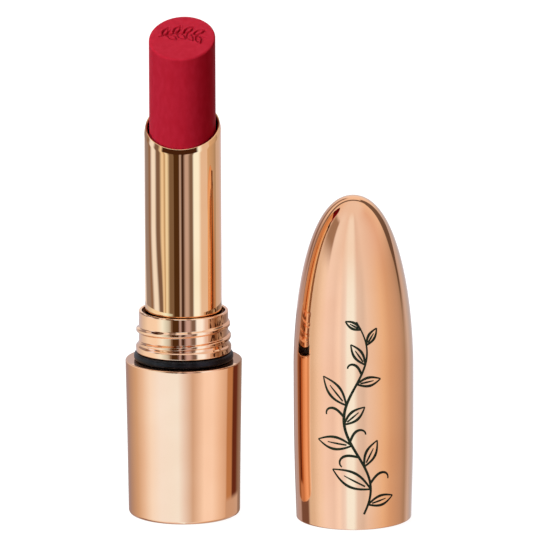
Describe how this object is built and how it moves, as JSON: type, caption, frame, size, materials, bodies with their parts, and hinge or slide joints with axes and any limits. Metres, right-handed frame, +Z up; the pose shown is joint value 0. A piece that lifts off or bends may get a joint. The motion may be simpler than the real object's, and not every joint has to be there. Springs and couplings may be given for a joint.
{
  "type": "lipstick case",
  "caption": "Twist-up lipstick case with a threaded collar, a turning tube that raises a slant-cut lipstick, and a tall rounded cap standing beside it.",
  "frame": {"origin": "centre of the case's underside, on the surface it stands on", "axes": "+Z up the case's axis; -Y towards the low side of the lipstick's slanted cut; +X towards the cap standing beside the case"},
  "size_m": [0.0525, 0.0254, 0.0917],
  "materials": {
    "rose_gold": "polished and anodised rose gold",
    "collar_gold": "polished and anodised rose gold",
    "cap_gold": "polished and anodised rose gold with a fine dark-green printed sprig",
    "pale_gold": "mirror-polished pale gold",
    "seal_rubber": "satin black",
    "steel": "turned",
    "black_plastic": "moulded matte",
    "white_plastic": "moulded satin",
    "liner_plastic": "moulded",
    "nylon": "natural, greased",
    "label_film": "plain film with no text",
    "lipstick_pomade": "matte crimson wax"
  },
  "bodies": {
    "case": {"base_shell": "rose_gold", "base_plug": "black_plastic", "shade_label": "label_film", "base_weight": "steel", "inner_base": "white_plastic", "spiral_sleeve": "nylon", "thread_collar": "collar_gold", "seal_ring": "seal_rubber", "friction_ring": "nylon"},
    "tube": {"lipstick_tube": "pale_gold", "guide_sleeve": "white_plastic"},
    "lift": {"lifter": "white_plastic", "lipstick_cup": "white_plastic", "lipstick": "lipstick_pomade"},
    "cap": {"cap_shell": "cap_gold", "cap_liner": "liner_plastic"}
  },
  "joints": [
    {"name": "tube_twist", "type": "hinge", "parent": "case", "child": "tube", "pos_m": [0, 0, 0.0289], "axis": [0, 0, 1], "range_deg": [0, 450]},
    {"name": "lipstick_slide", "type": "slide", "parent": "tube", "child": "lift", "axis": [0, 0, 1], "range_m": [-0.018, 0]},
    {"name": "cap_lift", "type": "slide", "parent": "case", "child": "cap", "axis": [0, 0, 1], "range_m": [0, 0.1]}
  ],
  "couplings": [
    {"joint": "lipstick_slide", "follows": "tube_twist", "m_per_rad": -0.0022918}
  ]
}
